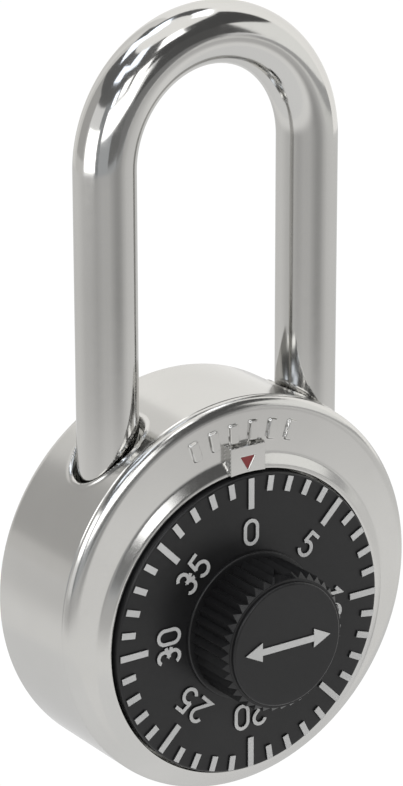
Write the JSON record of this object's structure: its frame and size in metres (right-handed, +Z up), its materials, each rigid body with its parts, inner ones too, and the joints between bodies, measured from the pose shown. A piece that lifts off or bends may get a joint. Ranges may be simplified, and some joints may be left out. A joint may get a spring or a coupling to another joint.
{
  "type": "combination padlock",
  "caption": "Rotary combination padlock with a round stainless case, a black numbered dial with a knurled knob, and a long polished shackle.",
  "frame": {"origin": "centre of the flat rear face, on the round case's own axis", "axes": "+Z up towards the bow of the shackle, +Y out of the rear face, so the dial faces -Y; +X to the right as one looks at the dial"},
  "size_m": [0.0476, 0.0244, 0.0923],
  "materials": {
    "satin_stainless": "satin, with a rounded front rim",
    "polished_shackle": "polished",
    "black_plastic": "matte, lightly textured",
    "white_marks": "matte paint on raised marks",
    "red_paint": "gloss",
    "plated_steel": "zinc plated",
    "spring_steel": "bright wire",
    "brass": "stamped"
  },
  "bodies": {
    "case": {"rear_case": "satin_stainless", "front_cover": "satin_stainless", "index_mark": "red_paint", "inner_case": "plated_steel", "rear_plate": "plated_steel", "frame_rivets": "plated_steel", "heel_guide": "plated_steel", "toe_socket": "plated_steel", "spindle_bush": "brass", "wheel_post": "plated_steel", "post_clip": "spring_steel", "wheel_spacer": "brass", "friction_washer": "spring_steel", "locking_lever": "plated_steel", "lever_pin": "plated_steel", "lever_spring": "spring_steel", "latch_pin": "plated_steel", "latch_spring": "spring_steel"},
    "dial": {"dial": "black_plastic", "dial_graduations": "white_marks", "dial_numerals": "white_marks", "knob_mark": "white_marks", "spindle": "plated_steel", "spindle_clip": "spring_steel", "drive_wheel": "brass"},
    "wheel_2": {"wheel_2": "brass"},
    "wheel_3": {"wheel_3": "brass"},
    "shackle": {"shackle": "polished_shackle", "heel_ring": "spring_steel"},
    "latch": {"latch": "plated_steel"}
  },
  "joints": [
    {"name": "dial_spin", "type": "hinge", "parent": "case", "child": "dial", "pos_m": [0, 0, -0.003], "axis": [0, -1, 0], "continuous": true},
    {"name": "wheel_2_spin", "type": "hinge", "parent": "dial", "child": "wheel_2", "pos_m": [0, 0, -0.003], "axis": [0, -1, 0], "range_deg": [-155, 155]},
    {"name": "wheel_3_spin", "type": "hinge", "parent": "wheel_2", "child": "wheel_3", "pos_m": [0, 0, -0.003], "axis": [0, -1, 0], "range_deg": [-155, 155]},
    {"name": "shackle_lift", "type": "slide", "parent": "case", "child": "shackle", "axis": [0, 0, 1], "range_m": [0, 0.014]},
    {"name": "latch_swing", "type": "hinge", "parent": "case", "child": "latch", "pos_m": [-0.007, 0, 0.0084], "axis": [0, 1, 0], "range_deg": [0, 36]}
  ],
  "couplings": [
    {"joint": "latch_swing", "follows": "shackle_lift", "rad_per_m": 44.88}
  ]
}
